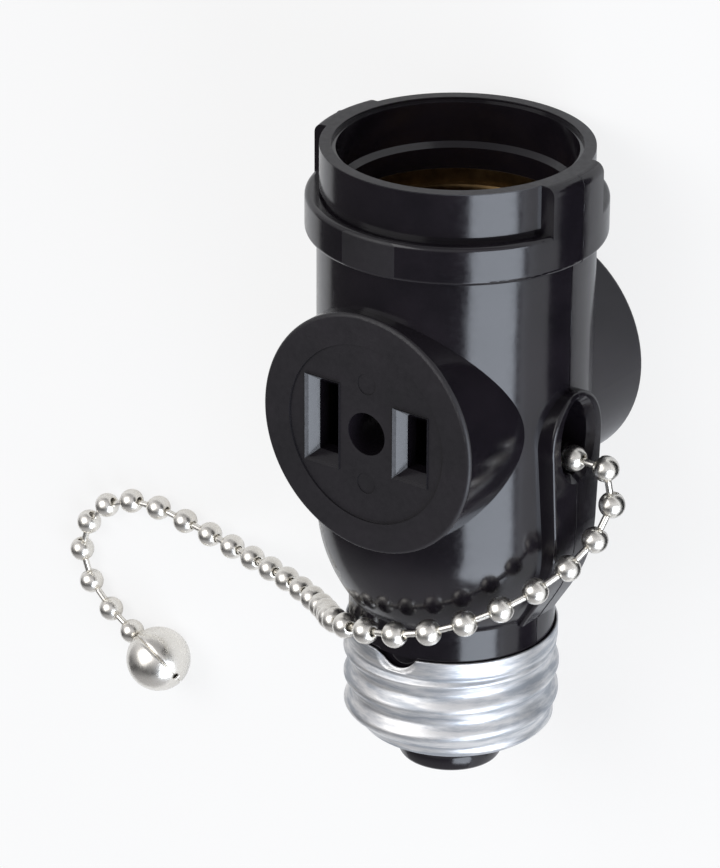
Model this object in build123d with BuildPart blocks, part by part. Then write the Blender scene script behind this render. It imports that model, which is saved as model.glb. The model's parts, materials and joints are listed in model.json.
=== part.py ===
from build123d import *
from math import cos, pi, radians, sin, tan
import os

# Pull-chain lampholder adapter with two side outlets and an E26 screw base.
# Every piece but the chain is drawn upright: Z runs along the adapter, from
# the screw base to the lamp collar, with Z = 0 on the axis of the two outlets.
# The front outlet looks along -Y and the chain leaves along +X. The finished
# pieces are then laid on the rear outlet's face, as the adapter rests.

# Screw threads: the rolled medium-base form, right hand
thread_pitch = 3.629
thread_offset = 0.45
sheet = 0.4
base_thread_mean_radius = 12.7
base_thread_turns = 3
lamp_thread_mean_radius = 13.3
lamp_thread_turns = 3

# Lamp well, from the shell's pocket outwards
shell_clearance = 0.2
lip_step = 0.45
cone_step = 0.7
cone_height = 0.6
lip_height = 2.6
rim_step = 0.5
disc_thickness = 1.0
lamp_flange_radius = 10.2
shell_pocket_radius = lamp_thread_mean_radius + thread_offset + shell_clearance
lip_radius = shell_pocket_radius - lip_step
collar_bore = lip_radius + cone_step

# Housing, outside: radii
collar_wall = 1.9
lug_depth = 1.7
flange_overhang = 1.4
collar_radius = collar_bore + collar_wall
flange_radius = collar_radius + lug_depth
body_radius = flange_radius - flange_overhang
bowl_middle_radius = body_radius - 1.3
base_band_radius = base_thread_mean_radius + 0.2
neck_radius = base_band_radius - sheet
tenon_radius = base_thread_mean_radius - 1.1
lug_width = 10.0
lug_round = 0.7 * lug_depth
rim_round = 0.7
flange_round = 0.6
groove_depth = 0.35
groove_height = 0.55

# Housing, heights, from the collar's rim down to the foot
flange_bottom = 20.15
flange_height = 4.8
collar_height = 5.85
collar_bore_length = 5.4
barrel_bottom = -14.7
flange_top = flange_bottom + flange_height
rim_top = flange_top + collar_height
well_shoulder = rim_top - collar_bore_length
lip_top = well_shoulder - cone_height
lamp_shell_top = lip_top - lip_height
well_floor = lamp_shell_top - 13.2
bowl_middle = barrel_bottom - 7.2
neck_top = barrel_bottom - 12.0
neck_height = 4.0
neck_bottom = neck_top - neck_height

# Screw base, downwards from the neck
base_band_height = 2.363
thread_top = neck_bottom - base_band_height
base_thread_bottom = thread_top - base_thread_turns * thread_pitch
tenon_bottom = base_thread_bottom + 1.35
base_bowl_radius = base_thread_mean_radius + 0.1
base_bowl_top = base_thread_bottom - 0.5
base_waist_radius = base_thread_mean_radius - 1.3
base_waist = base_thread_bottom - 1.9
base_mouth_radius = 6.4
base_shell_bottom = base_thread_bottom - 3.2
insulator_bottom = base_shell_bottom - 1.7
contact_dome_height = 0.7
contact_dome_bottom = insulator_bottom - contact_dome_height
contact_radius = 3.6
contact_stem_radius = 1.2
stake_width = 5.6
stake_height = 2.3
stake_depth = 0.75

# Housing, inside
wall = 3.1
neck_bore = tenon_radius - 3.6
fit_clearance = 0.1

# Outlets
outlet_reach = flange_radius
outlet_radius = 14.9
blade_pitch = 12.7
slot_width = 4.9
neutral_slot_height = 11.0
line_slot_height = 8.9
face_thickness = 3.2
face_recess_radius = 11.1
face_recess_depth = 0.25
rivet_recess_radius = 2.65
rivet_recess_floor = 9.0
rivet_radius = 1.5
rivet_head_radius = 2.4
rivet_head_height = 0.9
outlet_edge_round = 0.5
leaf_thickness = 0.5
leaf_gap = 1.4
leaf_spread = 4.0
leaf_depth = 7.2
leaf_bend = 3.3
chamber_margin = 1.2
ejector_mark_radius = 1.3
ejector_mark_place = 6.3
ejector_mark_depth = 0.1
neutral_floor = -(neutral_slot_height + chamber_margin) / 2
line_floor = -(line_slot_height + chamber_margin) / 2
switch_ceiling = neutral_floor - 2.3

# Chain guide on the side of the housing
guide_reach = flange_radius
guide_half_width = 5.1
guide_foot_half_width = 3.4
guide_top = 3.8
guide_centre = -2.25
guide_foot = neck_top - 0.3
guide_round = 0.4
mouth_half_width = 2.8
mouth_half_height = 4.75
mouth_round = 0.8

# Switch
shaft_x = 3.5
shaft_z = bowl_middle + 0.7
shaft_radius = 1.2
shaft_half_length = 9.4
shaft_boss_radius = 2.6
shaft_boss_face = 7.3
running_gap = 0.08
lever_length = 9.5
lever_swing = 45.0
lever_thickness = 1.1
lever_arm_width = 2.6
lever_hub_radius = 2.4
pocket_wall = 0.9
pull_slope = 28.0
ratchet_teeth = 8
ratchet_tip_radius = 4.6
ratchet_root_radius = 3.6
ratchet_thickness = 1.2
drum_radius = 3.65
drum_length = 4.6
tab_thickness = 0.3
blade_thickness = 0.4
strap_thickness = 0.6
spring_wire = 0.5
spring_turns = 3

# Straps: the neutral one runs down the left wall, the line one up the right
strap_width = 4.0
neutral_strap_x = -(tenon_radius - 0.4)
neutral_strap_foot = neck_bottom - 5.8
disc_radius = -neutral_strap_x - strap_thickness / 2 - 0.3
line_strap_x = blade_pitch / 2 + leaf_spread / 2 + 0.95
line_strap_step = 1.0
line_strap_foot_x = neck_bore - 2.8
lamp_strap_x = -3.1
strap_y = 4.0
strap_depth = 2.4

# Pull chain
bead_radius = 1.6
bead_pitch = 4.6
link_radius = 0.42
bell_radius = 4.25
bell_sheet = 0.5
bell_opening = 1.1
bell_inset = 1.7
bell_seam_normal = (0.475, 0.559, -0.679)

# The adapter lies on the rear outlet's face: X stays, the upright Z becomes
# the row's Y, and the front outlet looks up. The origin is on the table, under
# the middle of the adapter's length.
outlet_y = -(rim_top + contact_dome_bottom) / 2
lay_down = Plane(origin=(0, outlet_y, outlet_reach), x_dir=(1, 0, 0), z_dir=(0, 1, 0)).location


def save(piece, name):
    """Lay a finished upright piece down and write it."""
    laid = piece.part.moved(lay_down)
    laid.label = name
    export_step(laid, f"parts/{name}.step")


def save_lying(piece, name):
    """Write a piece that is already drawn where it lies."""
    piece.part.label = name
    export_step(piece.part, f"parts/{name}.step")


os.makedirs("parts", exist_ok=True)

# Chain guide: an arch-shaped pad whose outer edge runs down into the neck
with BuildPart() as chain_guide:
    with BuildSketch(Plane.YZ):
        with Locations((0, guide_centre)):
            Ellipse(guide_half_width, guide_top - guide_centre)
        with BuildLine():
            Polyline(
                (-guide_half_width, guide_centre),
                (-guide_foot_half_width, guide_foot),
                (guide_foot_half_width, guide_foot),
                (guide_half_width, guide_centre),
                close=True,
            )
        make_face()
    extrude(amount=guide_reach + 1)
    with BuildSketch(Plane.XZ):
        with BuildLine():
            Polyline((neck_radius + 0.2, guide_foot), (0, guide_foot), (0, guide_top), (guide_reach, guide_top))
            Line((guide_reach, guide_top), (guide_reach, barrel_bottom + 1))
            Spline(
                (guide_reach, barrel_bottom + 1),
                (guide_reach - 1.5, bowl_middle + 1.0),
                (neck_radius + 0.2, guide_foot),
                tangents=[(0, -1), (-0.6, -1)],
            )
        make_face()
    extrude(amount=guide_half_width + 1, both=True, mode=Mode.INTERSECT)
    guide_face = chain_guide.faces().sort_by(Axis.X)[-1]
    fillet(guide_face.edges(), guide_round)

# The two lugs beside the seam, rounded over at the rim
with BuildPart() as collar_lugs:
    with BuildSketch(Plane.XY.offset(flange_bottom + 1)):
        Circle(flange_radius)
        Rectangle(2 * flange_radius + 2, lug_width, mode=Mode.INTERSECT)
        Circle(collar_bore + rim_step, mode=Mode.SUBTRACT)
    extrude(amount=rim_top - flange_bottom - 1)
    lug_tops = collar_lugs.edges().filter_by_position(Axis.Z, rim_top - 0.01, rim_top + 0.01)
    fillet(lug_tops.filter_by(lambda e: e.bounding_box().max.X > collar_radius + 1), lug_round)
    lug_tops = collar_lugs.edges().filter_by_position(Axis.Z, rim_top - 0.01, rim_top + 0.01)
    fillet(lug_tops.filter_by(lambda e: e.bounding_box().min.X < -collar_radius - 1), lug_round)

# The whole moulded housing, before it is parted into its two halves
with BuildPart() as housing:
    with BuildSketch(Plane.XZ) as outside:
        with BuildLine():
            Polyline((0, rim_top), (collar_radius, rim_top), (collar_radius, flange_top))
            Line((collar_radius, flange_top), (flange_radius, flange_top))
            Line((flange_radius, flange_top), (flange_radius, flange_bottom))
            Line((flange_radius, flange_bottom), (body_radius, flange_bottom))
            Line((body_radius, flange_bottom), (body_radius, barrel_bottom))
            ThreePointArc(
                (body_radius, barrel_bottom), (bowl_middle_radius, bowl_middle), (neck_radius, neck_top)
            )
            Polyline((neck_radius, neck_top), (neck_radius, neck_bottom), (tenon_radius, neck_bottom))
            Polyline((tenon_radius, neck_bottom), (tenon_radius, tenon_bottom), (0, tenon_bottom), (0, rim_top))
        make_face()
        corners = outside.vertices()
        fillet(corners.filter_by(lambda v: abs(v.X - flange_radius) < 0.01), flange_round)
        fillet(corners.filter_by(lambda v: abs(v.X - collar_radius) < 0.01 and v.Y > flange_top + 1), rim_round)
    revolve(axis=Axis.Z)
    with BuildSketch(Plane.XZ):
        Circle(outlet_radius)
    extrude(amount=outlet_reach, both=True)
    outlet_rims = housing.edges().filter_by(GeomType.CIRCLE).filter_by(
        lambda e: abs(abs(e.center().Y) - outlet_reach) < 0.01 and abs(e.radius - outlet_radius) < 0.01
    )
    fillet(outlet_rims, outlet_edge_round)
    add(collar_lugs.part)
    add(chain_guide.part)
    # shallow groove between the collar and the flange, clear of the lugs
    with BuildSketch(Plane.XY.offset(flange_top)):
        Circle(collar_radius)
        Circle(collar_radius - groove_depth, mode=Mode.SUBTRACT)
        Rectangle(2 * flange_radius + 2, lug_width, mode=Mode.SUBTRACT)
    extrude(amount=groove_height, mode=Mode.SUBTRACT)
    # lamp well: open bore, cone, retaining lip and the pocket of the screw shell
    with BuildSketch(Plane.XZ):
        with BuildLine():
            Polyline(
                (0, rim_top),
                (collar_bore + rim_step, rim_top),
                (collar_bore + rim_step, rim_top - rim_step),
                (collar_bore, rim_top - rim_step),
                (collar_bore, well_shoulder),
                (lip_radius, lip_top),
                (lip_radius, lamp_shell_top),
                (shell_pocket_radius, lamp_shell_top),
                (shell_pocket_radius, well_floor),
                (0, well_floor),
                close=True,
            )
        make_face()
    revolve(axis=Axis.Z, mode=Mode.SUBTRACT)
    # switch chamber and the bore down the neck
    with BuildSketch(Plane.XZ):
        with BuildLine():
            Polyline(
                (0, switch_ceiling),
                (body_radius - wall, switch_ceiling),
                (body_radius - wall, barrel_bottom - 1),
                (bowl_middle_radius - wall, bowl_middle),
                (neck_radius - wall + 0.6, neck_top),
                (neck_bore, neck_bottom),
                (neck_bore, tenon_bottom),
                (0, tenon_bottom),
                close=True,
            )
        make_face()
    revolve(axis=Axis.Z, mode=Mode.SUBTRACT)
    # outlet faces: shallow disc, blade slots, contact chambers, rivet holes
    for side in (-1, 1):
        with BuildSketch(Plane.XZ.offset(-side * (outlet_reach - face_recess_depth))):
            Circle(face_recess_radius)
        extrude(amount=-side * (face_recess_depth + 1), mode=Mode.SUBTRACT)
        recess_floor = outlet_reach - face_recess_depth
        with BuildSketch(Plane.XZ.offset(-side * (recess_floor - ejector_mark_depth))):
            with Locations((0, -ejector_mark_place), (0, ejector_mark_place)):
                Circle(ejector_mark_radius)
        extrude(amount=-side, mode=Mode.SUBTRACT)
    for side, height in ((-1, neutral_slot_height), (1, line_slot_height)):
        with Locations((side * blade_pitch / 2, 0, 0)):
            Box(slot_width, 2 * outlet_reach + 1, height, mode=Mode.SUBTRACT)
            Box(
                slot_width + chamber_margin,
                2 * (outlet_reach - face_thickness),
                height + chamber_margin,
                mode=Mode.SUBTRACT,
            )
    with Locations(Plane.XZ):
        Cylinder(rivet_radius + fit_clearance, 2 * outlet_reach + 1, mode=Mode.SUBTRACT)
    for side in (-1, 1):
        with BuildSketch(Plane.XZ.offset(-side * rivet_recess_floor)):
            Circle(rivet_recess_radius)
        extrude(amount=-side * (outlet_reach - rivet_recess_floor + 1), mode=Mode.SUBTRACT)
    # chain mouth, rounded where the chain rubs, and the way in to the switch
    with BuildSketch(Plane.YZ.offset(guide_reach - 4.5)):
        with Locations((0, guide_centre)):
            Ellipse(mouth_half_width, mouth_half_height)
    extrude(amount=6, mode=Mode.SUBTRACT)
    with BuildSketch(Plane.YZ.offset(guide_reach - mouth_round)):
        with Locations((0, guide_centre)):
            Ellipse(mouth_half_width, mouth_half_height)
    with BuildSketch(Plane.YZ.offset(guide_reach + 0.01)):
        with Locations((0, guide_centre)):
            Ellipse(mouth_half_width + mouth_round, mouth_half_height + mouth_round)
    loft(mode=Mode.SUBTRACT)
    passage_top = guide_centre + mouth_half_height - 1.2
    passage_inner_x = guide_reach - 8.0
    with BuildSketch(Plane.XZ):
        with BuildLine():
            Polyline(
                (guide_reach - 3.2, passage_top),
                (guide_reach - 3.2, switch_ceiling - 1),
                (passage_inner_x - 4.8, switch_ceiling - 1),
                (passage_inner_x - 4.8, switch_ceiling + 0.1),
                (passage_inner_x, switch_ceiling + 2.65),
                (passage_inner_x, passage_top),
                close=True,
            )
        make_face()
    extrude(amount=mouth_half_width - 0.3, both=True, mode=Mode.SUBTRACT)
    # bosses that carry the ends of the switch shaft
    for side in (-1, 1):
        boss_end = side * (shaft_half_length + 2.2)
        with BuildSketch(Plane.XZ.offset(-side * shaft_boss_face)):
            with Locations((shaft_x, shaft_z)):
                Circle(shaft_boss_radius)
        extrude(amount=-(boss_end - side * shaft_boss_face))
    with BuildSketch(Plane.XZ):
        with Locations((shaft_x, shaft_z)):
            Circle(shaft_radius)
    extrude(amount=shaft_half_length, both=True, mode=Mode.SUBTRACT)

    # disc pocket and the channels of the straps
    with BuildSketch(Plane.XY.offset(well_floor)):
        Circle(disc_radius + fit_clearance)
    extrude(amount=-disc_thickness, mode=Mode.SUBTRACT)
    neutral_channel = strap_thickness + 2 * fit_clearance
    with Locations((neutral_strap_x, 0, (well_floor + neutral_strap_foot) / 2)):
        Box(neutral_channel, strap_width + 0.2, well_floor - neutral_strap_foot + 0.5, mode=Mode.SUBTRACT)
    with Locations(((neutral_strap_x - blade_pitch / 2) / 2, 0, neutral_floor + leaf_thickness / 2)):
        Box(
            -neutral_strap_x - blade_pitch / 2,
            strap_width + 2 * fit_clearance,
            leaf_thickness + 2 * fit_clearance,
            mode=Mode.SUBTRACT,
        )
    with Locations((line_strap_x - line_strap_step, strap_y, (line_floor + switch_ceiling) / 2 - 0.5)):
        Box(
            strap_thickness + 2 * fit_clearance,
            strap_depth + 2 * fit_clearance,
            line_floor - switch_ceiling + 1.2,
            mode=Mode.SUBTRACT,
        )
    lamp_tab_top = well_floor - disc_thickness
    with Locations((lamp_strap_x, strap_y, (lamp_tab_top + switch_ceiling) / 2)):
        Box(blade_thickness + 0.2, strap_depth + 0.2, lamp_tab_top - switch_ceiling + 0.2, mode=Mode.SUBTRACT)
    with Locations((lamp_strap_x / 2 + 0.6, strap_y / 2, lamp_tab_top - blade_thickness / 2)):
        Box(3.4 - lamp_strap_x, strap_y + strap_depth + 0.6, blade_thickness + 0.2, mode=Mode.SUBTRACT)

with BuildPart() as front_body_half:
    add(housing.part)
    split(bisect_by=Plane.XZ, keep=Keep.TOP)
save(front_body_half, "front_body_half")

with BuildPart() as rear_body_half:
    add(housing.part)
    split(bisect_by=Plane.XZ, keep=Keep.BOTTOM)
save(rear_body_half, "rear_body_half")

# Base screw shell: rolled thread, plain band at the mouth, bowl at the foot


def rolled_thread(radius, start, turns):
    """A round bar whose centre runs round a small helix: the E26 thread form."""
    with BuildPart() as bar:
        with BuildLine() as route:
            Helix(pitch=thread_pitch, height=turns * thread_pitch, radius=thread_offset, center=(0, 0, start))
        with BuildSketch(Plane(origin=route.line @ 0, x_dir=(1, 0, 0), z_dir=(0, 0, 1))):
            Circle(radius)
        sweep(path=route.line, normal=(0, 0, 1))
    return bar.part


def bowl_profile(inset, foot):
    """Half section of the base shell's band, thread gap and bowl, drawn inset from the outside."""
    thread_core = base_thread_mean_radius - inset
    band = base_band_radius - inset
    bowl = base_bowl_radius - inset
    with BuildLine() as edge:
        Polyline((0, neck_bottom), (band, neck_bottom), (band, thread_top - 0.6), (thread_core, thread_top - 0.6))
        Polyline((thread_core, thread_top - 0.6), (thread_core - 1, base_thread_bottom))
        Polyline((thread_core - 1, base_thread_bottom), (bowl, base_thread_bottom + 0.5), (bowl, base_bowl_top))
        Spline(
            (bowl, base_bowl_top),
            (base_waist_radius - inset, base_waist),
            (base_mouth_radius, foot),
            tangents=[(0, -1), (-1, -0.35)],
        )
        Polyline((base_mouth_radius, foot), (0, foot), (0, neck_bottom))
    return edge.line


with BuildPart() as base_screw_shell:
    add(rolled_thread(base_thread_mean_radius, base_thread_bottom, base_thread_turns))
    with BuildSketch(Plane.XZ):
        add(bowl_profile(0, base_shell_bottom))
        make_face()
    revolve(axis=Axis.Z)
    add(rolled_thread(base_thread_mean_radius - sheet, base_thread_bottom, base_thread_turns), mode=Mode.SUBTRACT)
    with BuildSketch(Plane.XZ):
        add(bowl_profile(sheet, base_shell_bottom + sheet))
        make_face()
    revolve(axis=Axis.Z, mode=Mode.SUBTRACT)
    with BuildSketch(Plane.XY.offset(base_shell_bottom - 1)):
        Circle(base_mouth_radius)
    extrude(amount=3, mode=Mode.SUBTRACT)
    # two stakes pressed into the band hold the shell on the tenon
    stake_place = (neck_bottom + thread_top) / 2
    for side in (-1, 1):
        for size, mode in ((sheet, Mode.ADD), (0, Mode.SUBTRACT)):
            dent = scale(
                Sphere(1, mode=Mode.PRIVATE),
                by=(stake_width / 2 + size, stake_depth + size, stake_height / 2 + size),
                mode=Mode.PRIVATE,
            )
            placed = Pos(0, side * base_band_radius, stake_place) * dent
            if mode == Mode.ADD:
                placed = placed & Pos(0, 0, stake_place) * Cylinder(base_band_radius, base_band_height, mode=Mode.PRIVATE)
            add(placed, mode=mode)
save(base_screw_shell, "base_screw_shell")

# Lamp screw shell: the same thread turned inward, with a floor flange and a plain top band
lamp_band_radius = lamp_thread_mean_radius + thread_offset + 0.05
lamp_thread_start = well_floor + sheet + 0.3
lamp_thread_end = lamp_thread_start + lamp_thread_turns * thread_pitch
with BuildPart() as lamp_screw_shell:
    add(rolled_thread(lamp_thread_mean_radius, lamp_thread_start, lamp_thread_turns))
    with BuildSketch(Plane.XY.offset(well_floor)):
        Circle(lamp_thread_mean_radius - 0.1)
    extrude(amount=lamp_thread_start - well_floor + 0.2)
    with BuildSketch(Plane.XY.offset(lamp_thread_end - 0.2)):
        Circle(lamp_band_radius)
    extrude(amount=lamp_shell_top - lamp_thread_end + 0.2)
    add(rolled_thread(lamp_thread_mean_radius - sheet, lamp_thread_start, lamp_thread_turns), mode=Mode.SUBTRACT)
    with BuildSketch(Plane.XY.offset(well_floor + sheet)):
        Circle(lamp_thread_mean_radius - 0.1 - sheet)
    extrude(amount=lamp_thread_start - well_floor, mode=Mode.SUBTRACT)
    with BuildSketch(Plane.XY.offset(lamp_thread_end - 0.1)):
        Circle(lamp_band_radius - sheet)
    extrude(amount=lamp_shell_top - lamp_thread_end + 1, mode=Mode.SUBTRACT)
    with BuildSketch(Plane.XY.offset(well_floor - 1)):
        Circle(lamp_flange_radius)
    extrude(amount=3, mode=Mode.SUBTRACT)
save(lamp_screw_shell, "lamp_screw_shell")

with BuildPart() as lamp_insulating_disc:
    with BuildSketch(Plane.XY.offset(well_floor - disc_thickness)):
        Circle(disc_radius)
        Circle(contact_stem_radius - 0.2, mode=Mode.SUBTRACT)
    extrude(amount=disc_thickness)
save(lamp_insulating_disc, "lamp_insulating_disc")

# Lamp centre contact: a hairpin tongue with a stem through the disc
tongue_foot = well_floor + blade_thickness / 2
with BuildPart() as lamp_center_contact:
    with BuildSketch(Plane.XZ):
        with BuildLine() as tongue:
            Polyline(
                (-4.0, tongue_foot),
                (5.0, tongue_foot),
                (6.0, tongue_foot + 0.9),
                (4.6, tongue_foot + 1.8),
                (-1.0, tongue_foot + 3.0),
                (-3.0, tongue_foot + 2.4),
            )
        trace(line_width=blade_thickness)
    extrude(amount=strap_width / 2, both=True)
    with Locations((0, 0, well_floor - (disc_thickness + blade_thickness - 0.1) / 2)):
        Cylinder(contact_stem_radius - 0.3, disc_thickness + blade_thickness + 0.1)
save(lamp_center_contact, "lamp_center_contact")

# Base insulator and its centre contact
insulator_inset = sheet + fit_clearance
with BuildPart() as base_insulator:
    with BuildSketch(Plane.XZ):
        with BuildLine():
            Polyline(
                (0, tenon_bottom),
                (tenon_radius, tenon_bottom),
                (tenon_radius, base_thread_bottom - 0.4),
                (base_bowl_radius - insulator_inset, base_bowl_top),
            )
            Spline(
                (base_bowl_radius - insulator_inset, base_bowl_top),
                (base_waist_radius - insulator_inset, base_waist),
                (base_mouth_radius - fit_clearance, base_shell_bottom + insulator_inset),
                tangents=[(0, -1), (-1, -0.35)],
            )
            Polyline(
                (base_mouth_radius - fit_clearance, base_shell_bottom + insulator_inset),
                (base_mouth_radius - fit_clearance, base_shell_bottom - 0.6),
                (base_mouth_radius - 0.5, insulator_bottom + 0.3),
                (base_mouth_radius - 0.9, insulator_bottom),
                (0, insulator_bottom),
                (0, tenon_bottom),
            )
        make_face()
    revolve(axis=Axis.Z)
    with Locations((0, 0, (tenon_bottom + insulator_bottom) / 2)):
        Cylinder(contact_stem_radius + 0.05, tenon_bottom - insulator_bottom + 1, mode=Mode.SUBTRACT)
save(base_insulator, "base_insulator")

stem_head = tenon_bottom + strap_thickness
with BuildPart() as base_center_contact:
    with BuildSketch(Plane.XZ):
        with BuildLine():
            ThreePointArc(
                (0, contact_dome_bottom),
                (contact_radius * 0.72, contact_dome_bottom + 0.25),
                (contact_radius, insulator_bottom),
            )
            Polyline(
                (contact_radius, insulator_bottom),
                (contact_stem_radius, insulator_bottom),
                (contact_stem_radius, stem_head),
                (contact_stem_radius + 0.8, stem_head),
                (contact_stem_radius + 0.8, stem_head + 0.5),
                (0, stem_head + 0.7),
                (0, contact_dome_bottom),
            )
        make_face()
    revolve(axis=Axis.Z)
save(base_center_contact, "base_center_contact")


def outlet_contact(x_side, floor, height):
    """Two bowed leaves on a web, one wiping pair for each outlet."""
    centre = x_side * blade_pitch / 2
    pinch = (leaf_gap + leaf_thickness) / 2
    wide = leaf_spread / 2
    tip = outlet_reach - leaf_depth
    web = tip - 5.0
    with BuildPart() as contact:
        with BuildSketch(Plane.XY.offset(floor)):
            for leaf in (-1, 1):
                with BuildLine():
                    Polyline(
                        (centre + leaf * wide, -tip),
                        (centre + leaf * pinch, -tip + leaf_bend),
                        (centre + leaf * wide, -web),
                        (centre + leaf * wide, web),
                        (centre + leaf * pinch, tip - leaf_bend),
                        (centre + leaf * wide, tip),
                    )
                trace(line_width=leaf_thickness)
        extrude(amount=height)
        with BuildSketch(Plane.XY.offset(floor)):
            with Locations((centre, 0)):
                Rectangle(leaf_spread, 2 * web - 1)
        extrude(amount=leaf_thickness)
    return contact


line_outlet_contact = outlet_contact(1, line_floor, line_slot_height)
save(line_outlet_contact, "line_outlet_contact")

neutral_leaves = outlet_contact(-1, neutral_floor, neutral_slot_height)
tab_start = -blade_pitch / 2 - leaf_spread / 2
tab_end = neutral_strap_x + strap_thickness / 2
with BuildPart() as neutral_outlet_contact:
    add(neutral_leaves.part)
    with Locations(((tab_start + tab_end) / 2, 0, neutral_floor + leaf_thickness / 2)):
        Box(tab_start - tab_end, strap_width, leaf_thickness)
save(neutral_outlet_contact, "neutral_outlet_contact")

with BuildPart() as neutral_strap:
    with Locations((neutral_strap_x, 0, (well_floor + neutral_strap_foot) / 2)):
        Box(strap_thickness, strap_width, well_floor - neutral_strap_foot)
save(neutral_strap, "neutral_strap")

# Line strap: foot under the base contact's head, up the neck to the line contact
foot_middle = tenon_bottom + strap_thickness / 2
with BuildPart() as line_strap:
    with BuildSketch(Plane.XZ.offset(-strap_y + strap_depth / 2)):
        with BuildLine():
            Polyline(
                (-2.4, foot_middle),
                (line_strap_foot_x, foot_middle),
                (line_strap_foot_x, neck_bottom + 1.7),
                (line_strap_x, neck_top + 2.7),
                (line_strap_x, switch_ceiling - 1.6),
                (line_strap_x - line_strap_step, switch_ceiling - 0.6),
                (line_strap_x - line_strap_step, line_floor),
            )
        trace(line_width=strap_thickness)
    extrude(amount=-strap_depth)
    with Locations((1.3, (strap_y + strap_depth / 2 - 2.4) / 2, foot_middle)):
        Box(7.4, strap_y + strap_depth / 2 + 2.4, strap_thickness)
    with Locations((0, 0, foot_middle)):
        Cylinder(contact_stem_radius + 0.05, 2, mode=Mode.SUBTRACT)
    with Locations((line_strap_x - line_strap_step, strap_y, line_floor + 1)):
        Box(3, 6, 2, mode=Mode.SUBTRACT)
save(line_strap, "line_strap")

# Switch blades press on the two sides of the rotor's contact
blade_reach = drum_radius + tab_thickness + 0.07 + blade_thickness / 2
with BuildPart() as switch_line_blade:
    with BuildSketch(Plane.XZ.offset(-strap_y + strap_depth / 2)):
        with BuildLine():
            Polyline(
                (line_strap_x - strap_thickness / 2 - 0.2, shaft_z + 5.2),
                (shaft_x + blade_reach + 0.4, shaft_z + 4.6),
                (shaft_x + blade_reach, shaft_z + 3.2),
                (shaft_x + blade_reach, shaft_z - 2.8),
                (shaft_x + blade_reach + 0.3, shaft_z - 3.8),
            )
        trace(line_width=blade_thickness)
    extrude(amount=-strap_depth)
save(switch_line_blade, "switch_line_blade")

with BuildPart() as switch_lamp_blade:
    with BuildSketch(Plane.XZ.offset(-strap_y + strap_depth / 2)):
        with BuildLine():
            Polyline(
                (shaft_x - blade_reach - 0.3, shaft_z - 4.8),
                (shaft_x - blade_reach, shaft_z - 3.8),
                (shaft_x - blade_reach, shaft_z + 8.2),
                (lamp_strap_x, switch_ceiling - 1.4),
                (lamp_strap_x, lamp_tab_top - blade_thickness / 2),
                (1.6, lamp_tab_top - blade_thickness / 2),
            )
        trace(line_width=blade_thickness)
    extrude(amount=-strap_depth)
    with Locations((0, (strap_y - strap_depth / 2 - 1.4) / 2, lamp_tab_top - blade_thickness / 2)):
        Box(3.2, strap_y - strap_depth / 2 + 1.4, blade_thickness)
    with Locations((0, 0, lamp_tab_top)):
        Cylinder(contact_stem_radius - 0.25, 2, mode=Mode.SUBTRACT)
save(switch_lamp_blade, "switch_lamp_blade")

# Rivet that ties the two halves through the middle of the outlets
with BuildPart() as tie_rivet:
    with Locations(Plane.XZ):
        Cylinder(rivet_radius, 2 * rivet_recess_floor)
    for side in (-1, 1):
        with BuildSketch(Plane.XZ.offset(-side * rivet_recess_floor)):
            Circle(rivet_head_radius)
        extrude(amount=-side * rivet_head_height, taper=20)
save(tie_rivet, "tie_rivet")

with BuildPart() as switch_shaft:
    with BuildSketch(Plane.XZ):
        with Locations((shaft_x, shaft_z)):
            Circle(shaft_radius)
    extrude(amount=shaft_half_length, both=True)
save(switch_shaft, "switch_shaft")

# Ratchet wheel with one-way teeth
wheel_face = lever_thickness / 2 + 0.2
outline = []
for tooth in range(ratchet_teeth):
    turn = 2 * pi * tooth / ratchet_teeth
    outline.append((ratchet_tip_radius * cos(turn), ratchet_tip_radius * sin(turn)))
    outline.append((ratchet_root_radius * cos(turn + 0.08), ratchet_root_radius * sin(turn + 0.08)))
with BuildPart() as ratchet_wheel:
    with BuildSketch(Plane(origin=(shaft_x, wheel_face, shaft_z), x_dir=(1, 0, 0), z_dir=(0, -1, 0))):
        with BuildLine():
            Polyline(*outline, close=True)
        make_face()
        Circle(shaft_radius + running_gap, mode=Mode.SUBTRACT)
    extrude(amount=-ratchet_thickness)
save(ratchet_wheel, "ratchet_wheel")

# Insulating drum beside the wheel, and the brass clip that bridges it
drum_face = wheel_face + ratchet_thickness
with BuildPart() as switch_drum:
    with BuildSketch(Plane.XZ.offset(-drum_face)):
        with Locations((shaft_x, shaft_z)):
            Circle(drum_radius)
            Circle(shaft_radius + running_gap, mode=Mode.SUBTRACT)
    extrude(amount=-drum_length)
save(switch_drum, "switch_drum")

clip_half_height = 2.2
with BuildPart() as rotor_contact:
    with BuildSketch(Plane.XZ.offset(-drum_face - drum_length)):
        with Locations((shaft_x, shaft_z)):
            Circle(drum_radius + tab_thickness)
            Rectangle(4 * drum_radius, 2 * clip_half_height, mode=Mode.INTERSECT)
            Circle(shaft_radius + 0.4, mode=Mode.SUBTRACT)
    extrude(amount=-tab_thickness)
    with BuildSketch(Plane.XZ.offset(-drum_face - drum_length)):
        with Locations((shaft_x, shaft_z)):
            Circle(drum_radius + tab_thickness)
            Circle(drum_radius, mode=Mode.SUBTRACT)
            Rectangle(4 * drum_radius, 2 * clip_half_height, mode=Mode.INTERSECT)
    extrude(amount=drum_length - 0.6)
save(rotor_contact, "rotor_contact")

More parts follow.
